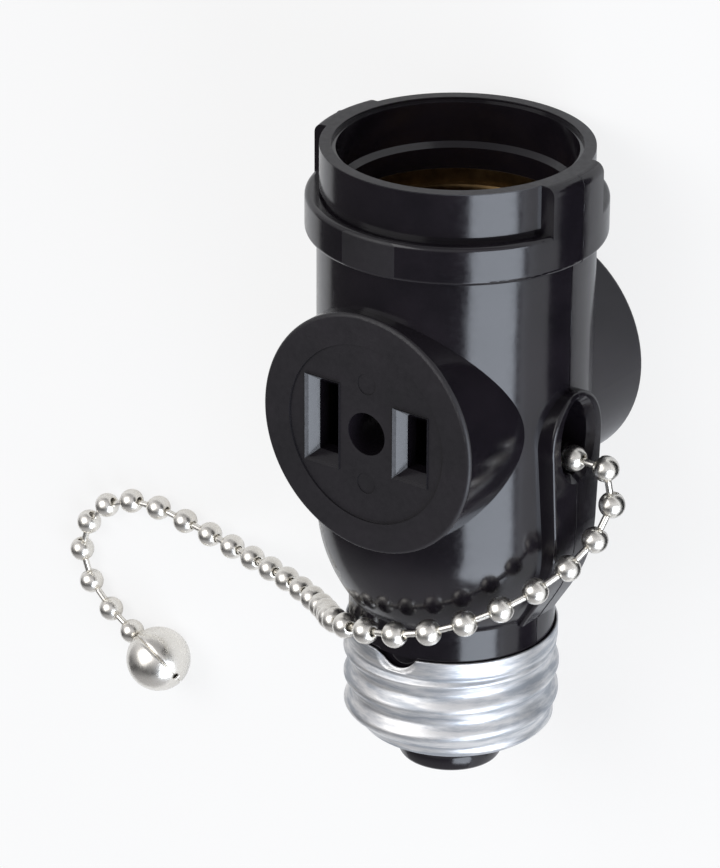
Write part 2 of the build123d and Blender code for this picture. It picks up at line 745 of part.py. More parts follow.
# Pull lever: a plate on the shaft with a pocket that holds the chain's last bead
rest_angle = 90 + pull_slope + lever_swing / 2
hook_x = shaft_x + lever_length * cos(radians(rest_angle))
hook_z = shaft_z + lever_length * sin(radians(rest_angle))
pocket_radius = bead_radius + 0.15
with BuildPart() as pull_lever:
    with BuildSketch(Plane.XZ):
        with Locations((shaft_x, shaft_z)):
            Circle(lever_hub_radius)
        with Locations(Location(((shaft_x + hook_x) / 2, (shaft_z + hook_z) / 2, 0), (0, 0, rest_angle))):
            Rectangle(lever_length, lever_arm_width)
    extrude(amount=lever_thickness / 2, both=True)
    with BuildSketch(Plane.XZ):
        with Locations((hook_x, hook_z)):
            Circle(pocket_radius + pocket_wall)
    extrude(amount=lever_thickness, both=True)
    with BuildSketch(Plane.XZ):
        with Locations((hook_x, hook_z)):
            Circle(pocket_radius)
        with Locations(Location((hook_x, hook_z, 0), (0, 0, pull_slope))):
            with Locations((pocket_radius, 0)):
                Rectangle(2 * pocket_radius, 1.2)
        with Locations((shaft_x, shaft_z)):
            Circle(shaft_radius + running_gap)
    extrude(amount=lever_thickness + 1, both=True, mode=Mode.SUBTRACT)
save(pull_lever, "pull_lever")

# Drive pawl on the lever's arm, its nose at the ratchet's teeth
pawl_inner = ratchet_tip_radius + 0.12
arm_direction = (cos(radians(rest_angle)), 0, sin(radians(rest_angle)))
with BuildPart() as drive_pawl:
    arm_side = Plane(origin=(shaft_x, lever_thickness / 2, shaft_z), x_dir=arm_direction, z_dir=(0, -1, 0))
    with BuildSketch(arm_side):
        with BuildLine():
            Polyline(
                (pawl_inner, -0.3),
                (pawl_inner + 0.5, -1.0),
                (pawl_inner + 1.9, -1.0),
                (pawl_inner + 1.9, 0.9),
                (pawl_inner + 0.9, 0.9),
                close=True,
            )
        make_face()
    extrude(amount=lever_thickness / 2 - wheel_face - ratchet_thickness)
save(drive_pawl, "drive_pawl")

# Torsion spring on the shaft: coils, a leg along the lever and a leg to the wall
spring_radius = shaft_radius + 0.2 + spring_wire / 2
spring_start = -lever_thickness / 2 - 0.1 - spring_wire / 2
spring_pitch = 0.8
with BuildPart() as spring_form:
    with BuildLine() as coil:
        Helix(
            pitch=spring_pitch,
            height=spring_turns * spring_pitch,
            radius=spring_radius,
            center=(shaft_x, spring_start, shaft_z),
            direction=(0, -1, 0),
        )
    with BuildSketch(Plane(origin=coil.line @ 0, z_dir=coil.line % 0)):
        Circle(spring_wire / 2)
    sweep(path=coil.line, is_frenet=True)
    for end, reach in ((0, -5.0), (1, 6.0)):
        with BuildSketch(Plane(origin=coil.line @ end, z_dir=coil.line % end)):
            Circle(spring_wire / 2)
        extrude(amount=reach)
with BuildPart() as lever_return_spring:
    add(spring_form.part.rotate(Axis((shaft_x, 0, shaft_z), (0, 1, 0)), 180 - rest_angle))
save(lever_return_spring, "lever_return_spring")

# Pull chain, drawn where it lies: from the lever's pocket out of the mouth,
# up over the neck, down the far side and round in a loop on the table
chain_route = [
    (hook_x, outlet_y + hook_z, outlet_reach),
    (16.8, 5.175, 17.6),
    (21.6, 4.775, 17.0),
    (22.4, -0.225, 16.4),
    (21.3, -5.225, 19.6),
    (18.2, -9.325, 25.2),
    (12.4, -13.225, 30.4),
    (5.2, -16.225, 33.6),
    (-3.4, -18.025, 33.2),
    (-10.2, -20.525, 28.6),
    (-15.6, -24.425, 21.8),
    (-22.0, -27.825, 15.0),
    (-31.0, -29.825, 9.0),
    (-42.0, -31.225, 4.2),
    (-52.0, -31.225, 1.8),
    (-62.0, -29.825, 1.6),
    (-69.5, -33.225, 1.6),
    (-72.8, -40.025, 1.6),
    (-70.2, -45.825, 1.6),
    (-64.5, -49.425, 1.8),
    (-57.1, -51.025, 4.25),
]
corner_radii = []
for before, here, after in zip(chain_route, chain_route[1:], chain_route[2:]):
    run_in = Vector(*here) - Vector(*before)
    run_out = Vector(*after) - Vector(*here)
    half_turn = radians(run_in.get_angle(run_out)) / 2
    corner_radii.append(0.45 * min(run_in.length, run_out.length) / tan(half_turn))
print("chain corner radii", [round(radius, 1) for radius in corner_radii])
with BuildLine() as chain_path:
    FilletPolyline(*chain_route, radius=corner_radii)
chain_wire = chain_path.wire()
bead_count = int((chain_wire.length - bell_inset) / bead_pitch) + 1
bead_step = (chain_wire.length - bell_inset) / (bead_count - 1)
bead_centres = [
    chain_wire.position_at(number * bead_step, position_mode=PositionMode.LENGTH) for number in range(bead_count)
]

with BuildPart() as pull_chain_beads:
    with Locations(*bead_centres):
        Sphere(bead_radius)
save_lying(pull_chain_beads, "pull_chain_beads")

with BuildPart() as pull_chain_links:
    for start, end in zip(bead_centres, bead_centres[1:]):
        with BuildSketch(Plane(origin=start, z_dir=end - start)):
            Circle(link_radius)
        extrude(amount=(end - start).length)
    with Locations(*bead_centres):
        Sphere(bead_radius + 0.01, mode=Mode.SUBTRACT)
save_lying(pull_chain_links, "pull_chain_links")

bell_centre = chain_wire.position_at(1)
bell_axis = (bead_centres[-2] - bell_centre).normalized()
seam_normal = Vector(*bell_seam_normal)
bell_seam = Plane(origin=bell_centre, z_dir=seam_normal - bell_axis * seam_normal.dot(bell_axis))
with BuildPart() as bell:
    with Locations(bell_centre):
        Sphere(bell_radius)
        Sphere(bell_radius - bell_sheet, mode=Mode.SUBTRACT)
    with BuildSketch(Plane(origin=bell_centre, z_dir=bell_axis)):
        Circle(bell_opening)
    extrude(amount=bell_radius + 1, mode=Mode.SUBTRACT)
with BuildPart() as bell_upper_half:
    add(bell.part)
    split(bisect_by=bell_seam, keep=Keep.TOP)
save_lying(bell_upper_half, "bell_upper_half")
with BuildPart() as bell_lower_half:
    add(bell.part)
    split(bisect_by=bell_seam, keep=Keep.BOTTOM)
save_lying(bell_lower_half, "bell_lower_half")
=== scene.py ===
import json
from math import asin, cos, exp, pi, radians, sin, sqrt

import bmesh
import bpy
from mathutils import Matrix, Vector


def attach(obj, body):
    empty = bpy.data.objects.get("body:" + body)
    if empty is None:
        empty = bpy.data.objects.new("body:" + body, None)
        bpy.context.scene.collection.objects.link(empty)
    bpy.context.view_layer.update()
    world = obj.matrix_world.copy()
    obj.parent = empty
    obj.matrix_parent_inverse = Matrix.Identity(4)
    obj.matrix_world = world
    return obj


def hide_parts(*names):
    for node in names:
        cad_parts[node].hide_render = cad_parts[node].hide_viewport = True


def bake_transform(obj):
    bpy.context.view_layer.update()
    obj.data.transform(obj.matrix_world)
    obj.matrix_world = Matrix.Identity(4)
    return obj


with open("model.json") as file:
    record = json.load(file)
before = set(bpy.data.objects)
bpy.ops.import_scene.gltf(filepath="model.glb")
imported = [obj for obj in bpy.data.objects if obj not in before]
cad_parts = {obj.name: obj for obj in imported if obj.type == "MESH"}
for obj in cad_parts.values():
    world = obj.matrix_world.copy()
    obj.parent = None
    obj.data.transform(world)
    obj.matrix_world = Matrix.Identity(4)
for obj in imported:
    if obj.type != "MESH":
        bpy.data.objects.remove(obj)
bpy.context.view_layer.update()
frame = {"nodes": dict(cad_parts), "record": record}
nodes = frame["nodes"]

MM = 0.001

# Sizes that the pieces share with the CAD model, in the row frame, in metres.
# Y runs along the adapter towards the lamp collar, Z is up, X to the chain guide.
CENTRE_HEIGHT = 17.8 * MM
OUTLET_Y = 9.375 * MM
BEAD_RADIUS = 1.6 * MM
BEAD_PITCH = 4.6 * MM
LINK_RADIUS = 0.42 * MM
BELL_RADIUS = 4.25 * MM
BELL_INSET = 1.7 * MM

# The matt zones start at this distance from the middle height, and at this place along Y
FACE_HEIGHT = 17.4 * MM
RIM_Y = 40.05 * MM

# Screw base, in millimetres; the thread runs round as in the CAD model
NECK_BOTTOM = -21.325
BAND_RADIUS = 12.9
THREAD_RADIUS = 12.7
THREAD_WAVE = 0.45
THREAD_PITCH = 3.629
THREAD_START = -34.575
THREAD_TOP = -23.9
THREAD_END = -34.0
THREAD_LEAD = 0.3
THREAD_RUN_IN = 1.0
THREAD_RUN_OUT = 1.6
SHELL_SHEET = 0.25
SHELL_SIDES = 200
BAND_ROWS = 12
BAND_STEP_HEIGHT = 0.7
BAND_OVERLAP = 0.5
THREAD_ROWS = 100
THREAD_ROW_HEIGHT = 0.1

# Shoulder of the shell, as (radius, place along Y)
SHELL_SHOULDER = [
    (12.6, -32.8),
    (12.1, -33.9),
    (11.2, -34.6),
    (9.6, -35.5),
    (7.8, -36.4),
    (6.5, -37.1),
]

# The two notches where the shell's edge is staked into the neck
STAKE_TURN = radians(-86)
STAKE_HALF_WIDTH = 2.7
STAKE_DEPTH = 1.75
STAKE_PRESS = 0.55
STAKE_PRESS_REACH = 0.45
STAKE_FULL_DIP = 0.8

# Outline of the insulator in the base's mouth, as (place along Y, radius)
INSULATOR_SIDES = 96
INSULATOR_MM = [
    (-33.3, 1.3),
    (-33.3, 11.4),
    (-34.6, 10.9),
    (-36.6, 6.35),
    (-37.9, 6.32),
    (-39.1, 6.28),
    (-39.4, 6.1),
    (-39.55, 5.75),
    (-39.6, 5.2),
    (-39.6, 1.3),
]

# Bell halves, in millimetres
BELL_SHEET = 0.5
BELL_OPENING = 1.1
BELL_FAR_OPENING = 0.45
BELL_SEAM_NORMAL = (0.475, 0.559, -0.679)
BELL_STEPS = 48
SEAM_DEPTH = 0.16
SEAM_WIDTH = 0.17

# Beads, with the steps of the rim that turns in at a hole, as (depth, narrowing)
BEAD_HOLE = 0.62 * MM
BEAD_LIP_MM = ((0.03, 0.04), (0.25, 0.10))
BEAD_STEPS = 14
BEAD_SIDES = 28
LINK_SIDES = 12

# Blade slots, in millimetres: (middle across, height) of each, and the slope of their mouths
SLOTS = ((-6.35, 11.0), (6.35, 8.9))
SLOT_WIDTH = 4.9
SLOT_DEPTH = 3.2
LEAD_DEPTH = 1.5
LEAD_INSET = 1.15
LEAD_OVERLAP = 0.03
LEAD_START = 0.02

# Moulding flash on the line where the housing's halves meet
FLASH_HEIGHT = 0.07 * MM
FLASH_HALF_WIDTH = 0.10 * MM
FLASH_SINK = 0.03 * MM
FLASH_OVERLAP = 0.02 * MM
PARTING_INNER = 12.3 * MM
RUNS_ACROSS = 0.99
SAME_PLACE = 0.002 * MM
BESIDE_SLACK = 0.01 * MM

# The chain's route, the same points as in the CAD model
CHAIN_ROUTE_MM = [
    (-3.83, -5.785, 17.8),
    (16.8, 5.175, 17.6),
    (21.6, 4.775, 17.0),
    (22.4, -0.225, 16.4),
    (21.3, -5.225, 19.6),
    (18.2, -9.325, 25.2),
    (12.4, -13.225, 30.4),
    (5.2, -16.225, 33.6),
    (-3.4, -18.025, 33.2),
    (-10.2, -20.525, 28.6),
    (-15.6, -24.425, 21.8),
    (-22.0, -27.825, 15.0),
    (-31.0, -29.825, 9.0),
    (-42.0, -31.225, 4.2),
    (-52.0, -31.225, 1.8),
    (-62.0, -29.825, 1.6),
    (-69.5, -33.225, 1.6),
    (-72.8, -40.025, 1.6),
    (-70.2, -45.825, 1.6),
    (-64.5, -49.425, 1.8),
    (-57.1, -51.025, 4.25),
]

# Grey level of the surround by the share of a direction that runs along Y
WORLD_LEVELS = (
    (-1.0, 0.50),
    (-0.72, 0.40),
    (-0.5, 0.09),
    (-0.3, 0.07),
    (0.05, 0.40),
    (0.5, 0.75),
    (1.0, 0.30),
)
WORLD_BLUE = 1.04

# The floor's glow, to the camera and in the pieces' reflections
FLOOR_SIZE = 4.0
FLOOR_DROP = 0.02 * MM
FLOOR_GLOW = 0.80
FLOOR_IN_GLOSS = 0.35

# The black card: its two sides across, its half length and its height, in millimetres
FLAG_X = (27.0, 58.0)
FLAG_HALF_LENGTH = 60.0
FLAG_HEIGHT = 0.05

# The lamps: place and aim in metres, power in watts, and size
KEY_PLACE = (-0.40, 0.45, 1.05)
KEY_POWER = 6.5
KEY_SIZE = (1.0, 1.0)
SIDE_PLACE = (0.75, -0.36, 0.35)
SIDE_AIM = (0, -0.2, CENTRE_HEIGHT)
SIDE_POWER = 9.5
SIDE_SIZE = (0.85, 0.6)
SIDE_COLOUR = (0.82, 0.89, 1.0)

# Camera fitted to the photograph: place, and the directions to its right and up
CAMERA_PLACE_MM = (304.521, 247.888, 445.795)
CAMERA_RIGHT = (0.80123, 0.00361, -0.59834)
CAMERA_UP = (-0.25564, 0.90619, -0.33685)
CAMERA_LENS = 201.8


def mm(point):
    """A point given in millimetres, as a vector in metres."""
    return Vector(point) * MM


def link(obj):
    """Add a new object to the scene."""
    bpy.context.scene.collection.objects.link(obj)
    return obj


def add_camera():
    """The camera at the photograph's place, with no shift and no depth of field."""
    camera = bpy.data.cameras.new("camera")
    camera.lens = CAMERA_LENS
    camera.clip_start = 0.01
    camera.clip_end = 20
    holder = link(bpy.data.objects.new("camera", camera))
    right = Vector(CAMERA_RIGHT).normalized()
    up = Vector(CAMERA_UP).normalized()
    back = right.cross(up).normalized()
    turn = Matrix((right, up, back)).transposed().to_4x4()
    holder.matrix_world = Matrix.Translation(mm(CAMERA_PLACE_MM)) @ turn
    bpy.context.scene.camera = holder


def add_node(tree, kind, inputs=None, **settings):
    """A new node with its settings, and with inputs that are values or linked sockets."""
    made = tree.nodes.new(kind)
    for name, value in settings.items():
        setattr(made, name, value)
    for name, value in (inputs or {}).items():
        if isinstance(value, bpy.types.NodeSocket):
            tree.links.new(value, made.inputs[name])
        else:
            made.inputs[name].default_value = value
    return made


def fill_ramp(ramp, stops):
    """Give a colour ramp node its (place, colour) stops."""
    elements = ramp.color_ramp.elements
    while len(elements) < len(stops):
        elements.new(0.5)
    for element, (place, colour) in zip(elements, stops):
        element.position = place
        element.color = (*colour, 1)


class Shader:
    """A node material with the few calls that the materials below need."""

    def __init__(self, name):
        self.material = bpy.data.materials.new(name)
        self.material.use_nodes = True
        self.tree = self.material.node_tree
        self.surface = self.tree.nodes["Principled BSDF"]
        self.coordinates = self.node("ShaderNodeTexCoord").outputs["Object"]

    def set(self, **values):
        """Set inputs of the surface; an underscore in a name stands for a space."""
        for name, value in values.items():
            self.surface.inputs[name.replace("_", " ")].default_value = value

    def node(self, kind, inputs=None, **settings):
        return add_node(self.tree, kind, inputs, **settings)

    def stretched(self, scale):
        """The object's coordinates, scaled by axis."""
        values = {"Vector": self.coordinates, "Scale": scale}
        return self.node("ShaderNodeMapping", values).outputs["Vector"]

    def noise(self, scale, detail=4.0, roughness=0.5, vector=None):
        """Noise whose scale is the number of waves in a millimetre."""
        values = {"Scale": scale / MM, "Detail": detail, "Roughness": roughness}
        values["Vector"] = vector or self.coordinates
        return self.node("ShaderNodeTexNoise", values).outputs["Fac"]

    def ramp(self, source, *stops):
        """A colour ramp from (place, grey or colour) stops."""
        made = self.node("ShaderNodeValToRGB", {"Fac": source})
        colours = [value if isinstance(value, tuple) else (value,) * 3 for place, value in stops]
        fill_ramp(made, [(place, colour) for (place, value), colour in zip(stops, colours)])
        return made.outputs["Color"]

    def maths(self, operation, *values):
        inputs = dict(enumerate(values))
        return self.node("ShaderNodeMath", inputs, operation=operation).outputs[0]

    def blend(self, factor, first, second):
        """The first value where factor is 0, the second where it is 1."""
        values = {"Factor": factor, "A": first, "B": second}
        return self.node("ShaderNodeMix", values).outputs["Result"]

    def link(self, source, name):
        """Link a socket to an input of the surface."""
        self.tree.links.new(source, self.surface.inputs[name])

    def bump(self, height, strength, distance, before=None):
        values = {"Height": height, "Strength": strength, "Distance": distance}
        if before is not None:
            values["Normal"] = before
        return self.node("ShaderNodeBump", values).outputs["Normal"]


def phenolic_material():
    """Moulded black phenolic: glossy sides, matt outlet faces, fine grain and scratches."""
    shader = Shader("black_phenolic")
    dark = (0.006, 0.005, 0.0068)
    light = (0.012, 0.0095, 0.0125)
    cloud = shader.noise(0.15, 5)
    shader.link(shader.ramp(cloud, (0.3, dark), (0.75, light)), "Base Color")
    place = shader.node("ShaderNodeSeparateXYZ", {"Vector": shader.coordinates}).outputs
    height = shader.maths("ABSOLUTE", shader.maths("SUBTRACT", place["Z"], CENTRE_HEIGHT))
    face = shader.maths("GREATER_THAN", height, FACE_HEIGHT)
    rim = shader.maths("GREATER_THAN", place["Y"], RIM_Y)
    matt_zone = shader.maths("MAXIMUM", face, rim)
    grain = shader.noise(1.3, 6, 0.7)
    gloss = shader.ramp(grain, (0.35, 0.12), (0.8, 0.24))
    matt = shader.ramp(grain, (0.3, 0.42), (0.75, 0.55))
    shader.link(shader.blend(matt_zone, gloss, matt), "Roughness")
    wave = shader.bump(shader.noise(0.10, 2), 0.16, 0.5 * MM)
    speck = shader.bump(shader.noise(4.5, 4, 0.7), 0.10, 0.02 * MM, wave)
    scratch = shader.noise(0.55, 3, 0.6, shader.stretched((9, 0.35, 1.5)))
    line = shader.ramp(scratch, (0.60, 0.0), (0.64, 1.0), (0.68, 0.0))
    shader.link(shader.bump(line, 0.05, 0.01 * MM, speck), "Normal")
    shader.set(IOR=1.5)
    return shader.material


def fibre_material():
    """Vulcanised red fibre, dull, with short flecks."""
    shader = Shader("red_fibre")
    dark = (0.16, 0.055, 0.035)
    light = (0.26, 0.10, 0.06)
    fleck = shader.noise(2.2, 6, 0.7)
    shader.link(shader.ramp(fleck, (0.3, dark), (0.75, light)), "Base Color")
    shader.link(shader.bump(fleck, 0.15, 0.03 * MM), "Normal")
    shader.set(Roughness=0.7)
    return shader.material


def metal_material(name, dark, light, rough, cloud_scale=0.3):
    """A plated or bare metal: soft clouds in its tone and polish, and fine scratches."""
    shader = Shader(name)
    shader.set(Metallic=1.0)
    cloud = shader.noise(cloud_scale, 5, 0.6)
    shader.link(shader.ramp(cloud, (0.3, dark), (0.72, light)), "Base Color")
    wear = shader.noise(1.2, 5, 0.65)
    shader.link(shader.ramp(wear, (0.3, rough * 0.8), (0.8, rough * 1.25)), "Roughness")
    shader.link(shader.bump(shader.noise(6.0, 3), 0.08, 0.006 * MM), "Normal")
    return shader.material


def aluminium_material():
    """Rolled aluminium: satin, with soft grey streaks that run round the thread."""
    shader = Shader("aluminium_shell")
    shader.set(Metallic=0.75)
    streak = shader.noise(0.35, 5, 0.6, shader.stretched((0.5, 3.2, 0.5)))
    dark = (0.40, 0.42, 0.45)
    light = (0.74, 0.73, 0.72)
    shader.link(shader.ramp(streak, (0.38, dark), (0.6, light)), "Base Color")
    shader.link(shader.ramp(streak, (0.3, 0.46), (0.75, 0.34)), "Roughness")
    shader.link(shader.bump(streak, 0.14, 0.10 * MM), "Normal")
    return shader.material


def build_materials():
    """One material for each slot of the record."""
    # The brass is painted far darker than bare brass: painted shade, so that the contacts deep in
    # the lamp well and behind the blade slots read dark.
    shade_darkened_brass = metal_material("brass_contacts", (0.08, 0.05, 0.022), (0.17, 0.11, 0.05), 0.45, 0.5)
    steel = metal_material("plated_steel", (0.44, 0.44, 0.45), (0.56, 0.56, 0.57), 0.30)
    nickel = metal_material("nickel_plate", (0.80, 0.77, 0.71), (0.90, 0.87, 0.81), 0.29, 0.4)
    return {
        "black_phenolic": phenolic_material(),
        "aluminium_shell": aluminium_material(),
        "brass_contacts": shade_darkened_brass,
        "plated_steel": steel,
        "red_fibre": fibre_material(),
        "nickel_plate": nickel,
    }


def dress_nodes(materials):
    """Each CAD node gets the material of its slot."""
    for part in frame["record"]["subparts"]:
        mesh = nodes[part["node"]].data
        mesh.materials.clear()
        mesh.materials.append(materials[part["material_slot"]])


def chain_line():
    """Points along the chain's smooth line, read from its route's NURBS spline."""
    curve = bpy.data.curves.new("chain_route", "CURVE")
    curve.dimensions = "3D"
    curve.resolution_u = 40
    spline = curve.splines.new("NURBS")
    spline.points.add(len(CHAIN_ROUTE_MM) - 1)
    for point, place in zip(spline.points, CHAIN_ROUTE_MM):
        point.co = (*mm(place), 1)
    spline.order_u = 3
    spline.use_endpoint_u = True
    holder = bpy.data.objects.new("chain_route", curve)
    mesh = bpy.data.meshes.new_from_object(holder)
    line = [vertex.co.copy() for vertex in mesh.vertices]
    bpy.data.objects.remove(holder)
    bpy.data.meshes.remove(mesh)
    return line


def along(line, distance):
    """The point at a distance along a line of points."""
    for start, end in zip(line, line[1:]):
        step = (end - start).length
        if distance <= step:
            return start.lerp(end, distance / step)
        distance -= step
    return line[-1].copy()


def length_of(line):
    """The length of a line of points."""
    return sum((end - start).length for start, end in zip(line, line[1:]))


def skin(mesh, rows, wrap):
    """Smooth quads between neighbouring rows of vertices, closed round if wrap."""
    for low, high in zip(rows, rows[1:]):
        count = len(low)
        for number in range(count if wrap else count - 1):
            after = (number + 1) % count
            face = mesh.faces.new((low[number], low[after], high[after], high[number]))
            face.smooth = True


def turned_ring(mesh, place, axis, profile, sides):
    """Revolve (reach along the axis, radius) pairs about an axis through place."""
    axis = axis.normalized()
    across = axis.orthogonal().normalized()
    beside = axis.cross(across)
    rings = []
    for reach, radius in profile:
        ring = []
        for number in range(sides):
            turn = 2 * pi * number / sides
            offset = across * (radius * cos(turn)) + beside * (radius * sin(turn))
            ring.append(mesh.verts.new(place + axis * reach + offset))
        rings.append(ring)
    skin(mesh, rings, True)


def finished(mesh, name, material, body=None):
    """Turn a bmesh into an object that rides on a body, if one is named."""
    data = bpy.data.meshes.new(name)
    bmesh.ops.recalc_face_normals(mesh, faces=mesh.faces)
    mesh.to_mesh(data)
    mesh.free()
    data.materials.append(material)
    piece = link(bpy.data.objects.new(name, data))
    if body:
        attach(piece, body)
    return piece


def smoothstep(value):
    """Rise smoothly from 0 to 1 as the value does."""
    value = min(max(value, 0.0), 1.0)
    return value * value * (3 - 2 * value)


def shell_radius(turn, height):
    """The screw base's radius at an angle round it and a place along it, in millimetres."""
    shoulder = [(THREAD_RADIUS, THREAD_TOP)] + SHELL_SHOULDER
    radius = THREAD_RADIUS
    for (before, start), (after, end) in zip(shoulder, shoulder[1:]):
        if end <= height <= start:
            radius = before + (after - before) * (start - height) / (start - end)
    radius += (BAND_RADIUS - THREAD_RADIUS) * smoothstep((height - THREAD_TOP) / BAND_STEP_HEIGHT)
    run_in = smoothstep((THREAD_TOP + THREAD_LEAD - height) / THREAD_RUN_IN)
    run_out = smoothstep((height - THREAD_END) / THREAD_RUN_OUT + 1)
    wave = cos(turn - 2 * pi * (height - THREAD_START) / THREAD_PITCH)
    return radius + THREAD_WAVE * run_in * run_out * wave


def stake_edge(turn):
    """How far the shell's top edge dips at an angle, where it is staked to the neck."""
    dip = 0.0
    for middle in (STAKE_TURN, STAKE_TURN + pi):
        away = (turn - middle + pi) % (2 * pi) - pi
        share = abs(away) * BAND_RADIUS / STAKE_HALF_WIDTH
        if share < 1:
            dip = STAKE_DEPTH * (1 - share**2) ** 0.8
    return dip


def band_ring(mesh, turns, thread_start, share):
    """One ring of the shell's band, at a share of the way from its staked edge to the thread."""
    ring = []
    for turn in turns:
        dip = stake_edge(turn)
        top = NECK_BOTTOM - dip
        height = top + (thread_start - top) * share
        press = STAKE_PRESS * exp(-(((top - height) / STAKE_PRESS_REACH) ** 2))
        radius = shell_radius(turn, height) - press * smoothstep(dip / STAKE_FULL_DIP)
        ring.append(mesh.verts.new(round_base(turn, height, radius)))
    return ring


def build_base_shell(materials):
    """The rolled aluminium shell: band, thread and rounded shoulder, with two stakes."""
    mesh = bmesh.new()
    turns = [2 * pi * number / SHELL_SIDES for number in range(SHELL_SIDES)]
    thread_start = THREAD_TOP + BAND_OVERLAP
    heights = [thread_start - THREAD_ROW_HEIGHT * row for row in range(THREAD_ROWS)]
    heights += [height for radius, height in finer(SHELL_SHOULDER) if height < heights[-1]]
    rows = [band_ring(mesh, turns, thread_start, row / BAND_ROWS) for row in range(BAND_ROWS)]
    for height in heights:
        places = [round_base(turn, height, shell_radius(turn, height)) for turn in turns]
        rows.append([mesh.verts.new(place) for place in places])
    skin(mesh, rows, True)
    shell = finished(mesh, "rolled_base_shell", materials["aluminium_shell"], "housing")
    sheet = shell.modifiers.new("sheet", "SOLIDIFY")
    sheet.thickness = SHELL_SHEET * MM
    sheet.offset = -1
    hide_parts("base_screw_shell")


def finer(points, steps=6):
    """The polyline's points, with steps - 1 more between each two."""
    made = [points[0]]
    for before, after in zip(points, points[1:]):
        for step in range(1, steps + 1):
            made.append(tuple(a + (b - a) * step / steps for a, b in zip(before, after)))
    return made


def round_base(turn, height, radius):
    """A place round the adapter's axis, in metres."""
    return mm((radius * cos(turn), height, CENTRE_HEIGHT / MM - radius * sin(turn)))


def build_insulator(materials):
    """The black insulator in the base's mouth, round the centre contact's stem."""
    mesh = bmesh.new()
    turns = [2 * pi * number / INSULATOR_SIDES for number in range(INSULATOR_SIDES)]
    rows = []
    for height, radius in INSULATOR_MM + INSULATOR_MM[:1]:
        rows.append([mesh.verts.new(round_base(turn, height, radius)) for turn in turns])
    skin(mesh, rows, True)
    bmesh.ops.remove_doubles(mesh, verts=mesh.verts, dist=0.001 * MM)
    insulator = finished(mesh, "mouth_insulator", materials["black_phenolic"], "housing")
    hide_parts("base_insulator")


def slot_rows(mesh, middle, height, face, inward):
    """Rings of vertices down one blade slot, from its mouth to the straight part and back."""
    wide = (SLOT_WIDTH / 2 + LEAD_OVERLAP, height / 2 + LEAD_OVERLAP)
    narrow = (wide[0] - LEAD_INSET, wide[1] - LEAD_INSET)
    outline = (
        (wide, LEAD_START),
        (narrow, LEAD_DEPTH),
        (narrow, SLOT_DEPTH),
        (wide, SLOT_DEPTH),
        (wide, LEAD_START),
    )
    rows = []
    for (across, along_y), depth in outline:
        corners = ((-across, -along_y), (across, -along_y), (across, along_y), (-across, along_y))
        places = [(middle + x, OUTLET_Y / MM + y, face + inward * depth) for x, y in corners]
        rows.append([mesh.verts.new(mm(place)) for place in places])
    return rows


def build_lead_ins(materials):
    """Sloping mouths in the four blade slots, from the face down to the straight part."""
    mesh = bmesh.new()
    for face, inward in ((2 * CENTRE_HEIGHT / MM, -1), (0.0, 1)):
        for middle, height in SLOTS:
            skin(mesh, slot_rows(mesh, middle, height, face, inward), True)
    for face in mesh.faces:
        face.smooth = False
    bmesh.ops.remove_doubles(mesh, verts=mesh.verts, dist=0.001 * MM)
    frames = finished(mesh, "slot_lead_ins", materials["black_phenolic"], "housing")


def in_parting_plane(vertices):
    """Whether all the vertices lie in the plane where the halves meet."""
    return all(abs(vertex.co.z - CENTRE_HEIGHT) <= SAME_PLACE for vertex in vertices)


def parting_edges():
    """The outermost edges of the front half in the plane where the halves meet."""
    mesh = bmesh.new()
    mesh.from_mesh(nodes["front_body_half"].data)
    bmesh.ops.remove_doubles(mesh, verts=mesh.verts, dist=SAME_PLACE)
    found = []
    for edge in mesh.edges:
        flat = [in_parting_plane(face.verts) for face in edge.link_faces]
        borders = flat.count(True) == 1 and flat.count(False) == 1
        if borders and in_parting_plane(edge.verts):
            start, end = (vertex.co.copy() for vertex in edge.verts)
            if min(abs(start.x), abs(end.x)) > PARTING_INNER:
                found.append((start, end) if start.y < end.y else (end, start))
    mesh.free()
    return [edge for edge in found if outermost(edge, found)]


def outermost(edge, edges):
    """Whether no other edge of the plane lies further from the axis beside this one."""
    start, end = edge
    middle = (start + end) / 2
    for low, high in edges:
        spans = low.y + BESIDE_SLACK < middle.y < high.y - BESIDE_SLACK
        if spans and low.x * middle.x > 0:
            beside = low.lerp(high, (middle.y - low.y) / (high.y - low.y))
            if abs(beside.x) > abs(middle.x) + BESIDE_SLACK:
                return False
    return True


def build_parting_line(materials):
    """A low ridge of moulding flash where the two halves meet, held below the rim."""
    mesh = bmesh.new()
    up = Vector((0, 0, FLASH_HALF_WIDTH))
    for start, end in parting_edges():
        run = (end - start).normalized()
        out = Vector((run.y, -run.x, 0)) * (1 if start.x > 0 else -1)
        if abs(run.x) > RUNS_ACROSS:
            out = Vector((0, 1 if start.y > 0 else -1, 0))
        ends = []
        for place in (start - run * FLASH_OVERLAP, end + run * FLASH_OVERLAP):
            foot = place - out * FLASH_SINK
            crest = place + out * FLASH_HEIGHT
            ends.append([mesh.verts.new(corner) for corner in (foot - up, crest, foot + up)])
        skin(mesh, ends, True)
        mesh.faces.new(ends[0])
        mesh.faces.new(ends[1][::-1])
    rim = max(vertex.co.y for vertex in nodes["front_body_half"].data.vertices)
    for vertex in mesh.verts:
        vertex.co.y = min(vertex.co.y, rim)
    flash = finished(mesh, "parting_flash", materials["black_phenolic"], "housing")


def bell_turns(ring):
    """Angles round one half of the bell at a ring's radius, close together at the seam."""
    turns = [pi * column / BELL_STEPS for column in range(BELL_STEPS + 1)]
    turns[1] = min(SEAM_WIDTH * MM / ring, pi / BELL_STEPS)
    turns[-2] = pi - turns[1]
    return turns


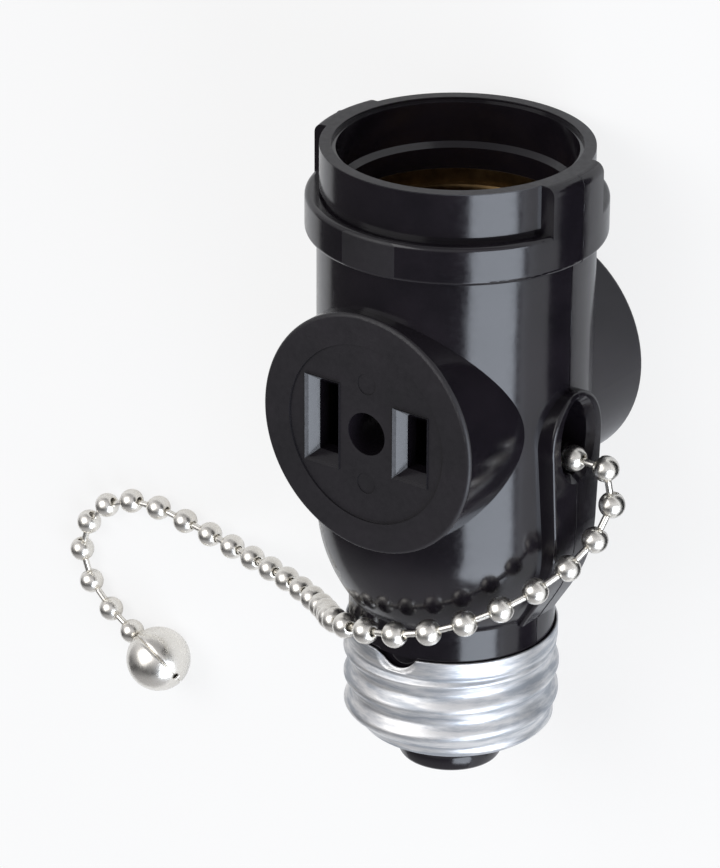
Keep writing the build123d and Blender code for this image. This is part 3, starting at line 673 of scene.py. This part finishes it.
def bell_layer(mesh, centre, axis, normal, inset, seam):
    """Rows of vertices over one half of the bell, sunk by seam along its edges."""
    across = axis.cross(normal)
    near = asin(BELL_OPENING * MM / BELL_RADIUS)
    far = pi - asin(BELL_FAR_OPENING * MM / BELL_RADIUS)
    rows = []
    for step in range(BELL_STEPS + 1):
        tilt = near + (far - near) * step / BELL_STEPS
        turns = bell_turns(BELL_RADIUS * sin(tilt))
        row = []
        for turn in turns:
            radius = BELL_RADIUS - inset
            if turn in (turns[0], turns[-1]):
                radius -= seam
            spoke = across * cos(turn) + normal * sin(turn)
            row.append(mesh.verts.new(centre + (axis * cos(tilt) + spoke * sin(tilt)) * radius))
        rows.append(row)
    return rows


def bell_half(name, material, centre, axis, side):
    """One half of the bell: a shell from the chain's opening to the far hole."""
    normal = Vector(BELL_SEAM_NORMAL)
    normal = (normal - axis * normal.dot(axis)).normalized() * side
    mesh = bmesh.new()
    outer = bell_layer(mesh, centre, axis, normal, 0.0, SEAM_DEPTH * MM)
    inner = bell_layer(mesh, centre, axis, normal, BELL_SHEET * MM, 0.0)
    skin(mesh, outer, False)
    skin(mesh, inner, False)
    for end in (0, -1):
        skin(mesh, [outer[end], inner[end]], False)
        skin(mesh, [[row[end] for row in layer] for layer in (outer, inner)], False)
    half = finished(mesh, name, material, "housing")
    return half


def build_bell(materials):
    """The two halves of the bell, which meet in a fine seam."""
    end = mm(CHAIN_ROUTE_MM[-1])
    axis = (mm(CHAIN_ROUTE_MM[-2]) - end).normalized()
    upper = bell_half("bell_seamed_upper", materials["nickel_plate"], end, axis, -1)
    lower = bell_half("bell_seamed_lower", materials["nickel_plate"], end, axis, 1)
    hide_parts("bell_upper_half")
    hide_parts("bell_lower_half")
    return [upper, lower]


def bead_profile():
    """Half outline of a hollow bead, from the rim of one hole to the other."""
    lip = sqrt(BEAD_RADIUS**2 - BEAD_HOLE**2)
    start = pi - asin(BEAD_HOLE / BEAD_RADIUS)
    edge = [(lip - depth * MM, BEAD_HOLE - inward * MM) for depth, inward in BEAD_LIP_MM]
    profile = [(-reach, radius) for reach, radius in reversed(edge)]
    for number in range(BEAD_STEPS + 1):
        turn = start + (pi - 2 * start) * number / BEAD_STEPS
        profile.append((BEAD_RADIUS * cos(turn), BEAD_RADIUS * sin(turn)))
    return profile + edge


def build_chain(materials, bell):
    """Hollow beads and link rods along the route."""
    line = chain_line()
    total = length_of(line)
    count = int((total - BELL_INSET) / BEAD_PITCH) + 1
    step = (total - BELL_INSET) / (count - 1)
    centres = [along(line, number * step) for number in range(count)]
    mesh = bmesh.new()
    profile = bead_profile()
    for number, centre in enumerate(centres):
        before = centres[max(number - 1, 0)]
        after = centres[min(number + 1, count - 1)]
        turned_ring(mesh, centre, after - before, profile, BEAD_SIDES)
    for start, end in zip(centres, centres[1:]):
        rod = [(0, LINK_RADIUS), ((end - start).length, LINK_RADIUS)]
        turned_ring(mesh, start, end - start, rod, LINK_SIDES)
    chain = finished(mesh, "bead_chain", materials["nickel_plate"])
    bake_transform(chain)
    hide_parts("pull_chain_beads", "pull_chain_links")


def add_light(name, place, aim, power, size, colour=(1, 1, 1)):
    """An area lamp at a place, looking at a point, both in metres."""
    data = bpy.data.lights.new(name, "AREA")
    data.energy = power
    data.color = colour
    data.shape = "RECTANGLE"
    data.size, data.size_y = size
    lamp = link(bpy.data.objects.new(name, data))
    lamp.location = place
    lamp.rotation_euler = (Vector(aim) - Vector(place)).to_track_quat("-Z", "Y").to_euler()


def stage_piece(mesh, name, material):
    """Turn a bmesh into an object of the stage."""
    data = bpy.data.meshes.new(name)
    mesh.to_mesh(data)
    mesh.free()
    data.materials.append(material)
    piece = link(bpy.data.objects.new(name, data))
    return piece


def floor_material():
    """Pale and matt, with a glow for the camera and a weaker one for reflections."""
    shader = Shader("floor_white")
    shader.set(Base_Color=(0.80, 0.80, 0.80, 1), Roughness=0.9, Specular_IOR_Level=0.1)
    path = shader.node("ShaderNodeLightPath").outputs
    seen = shader.maths("MULTIPLY_ADD", path["Is Glossy Ray"], FLOOR_IN_GLOSS, path["Is Camera Ray"])
    share = shader.maths("MULTIPLY", seen, FLOOR_GLOW)
    glow = shader.node("ShaderNodeEmission", {"Color": (1, 1, 1, 1)}).outputs[0]
    layers = {0: share, 1: shader.surface.outputs[0], 2: glow}
    mix = shader.node("ShaderNodeMixShader", layers).outputs[0]
    shader.tree.links.new(mix, shader.tree.nodes["Material Output"].inputs["Surface"])
    return shader.material


def build_floor():
    """A plain pale floor that shows white to the camera and keeps a soft shadow."""
    mesh = bmesh.new()
    bmesh.ops.create_grid(mesh, x_segments=1, y_segments=1, size=FLOOR_SIZE)
    floor = stage_piece(mesh, "floor", floor_material())
    floor.location = (0, 0, -FLOOR_DROP)


def build_world():
    """A studio surround, graded along Y by its levels and white to the camera."""
    world = bpy.data.worlds.new("studio")
    bpy.context.scene.world = world
    world.use_nodes = True
    tree = world.node_tree
    place = add_node(tree, "ShaderNodeTexCoord").outputs["Generated"]
    split = add_node(tree, "ShaderNodeSeparateXYZ", {"Vector": place}).outputs
    spread = add_node(tree, "ShaderNodeMapRange", {"From Min": -1.0, "Value": split["Y"]})
    ramp = add_node(tree, "ShaderNodeValToRGB", {"Fac": spread.outputs["Result"]})
    greys = [((share + 1) / 2, (level, level, level * WORLD_BLUE)) for share, level in WORLD_LEVELS]
    fill_ramp(ramp, greys)
    path = add_node(tree, "ShaderNodeLightPath").outputs
    colours = {"A": ramp.outputs["Color"], "B": (1, 1, 1, 1), "Factor": path["Is Camera Ray"]}
    mix = add_node(tree, "ShaderNodeMix", colours, data_type="RGBA")
    tree.links.new(mix.outputs["Result"], tree.nodes["Background"].inputs["Color"])


def build_flag():
    """A black card beside the adapter that only its reflections see."""
    shader = Shader("flag_black")
    shader.set(Base_Color=(0.004, 0.004, 0.004, 1), Roughness=1.0, Specular_IOR_Level=0.0)
    mesh = bmesh.new()
    low_x, high_x = FLAG_X
    low_y, high_y = -FLAG_HALF_LENGTH, FLAG_HALF_LENGTH
    corners = ((low_x, low_y), (high_x, low_y), (high_x, high_y), (low_x, high_y))
    mesh.faces.new([mesh.verts.new(mm((x, y, FLAG_HEIGHT))) for x, y in corners])
    flag = stage_piece(mesh, "flag", shader.material)
    flag.visible_camera = False
    flag.visible_diffuse = False
    flag.visible_shadow = False


def build_studio():
    """The floor, the surround, the black card and two soft lamps."""
    build_floor()
    build_world()
    build_flag()
    add_light("key", KEY_PLACE, (0, 0, CENTRE_HEIGHT), KEY_POWER, KEY_SIZE)
    add_light("right_box", SIDE_PLACE, SIDE_AIM, SIDE_POWER, SIDE_SIZE, SIDE_COLOUR)


add_camera()
materials = build_materials()
dress_nodes(materials)
build_base_shell(materials)
build_insulator(materials)
build_lead_ins(materials)
build_parting_line(materials)
build_chain(materials, build_bell(materials))
build_studio()
bpy.context.scene.view_settings.view_transform = "Standard"
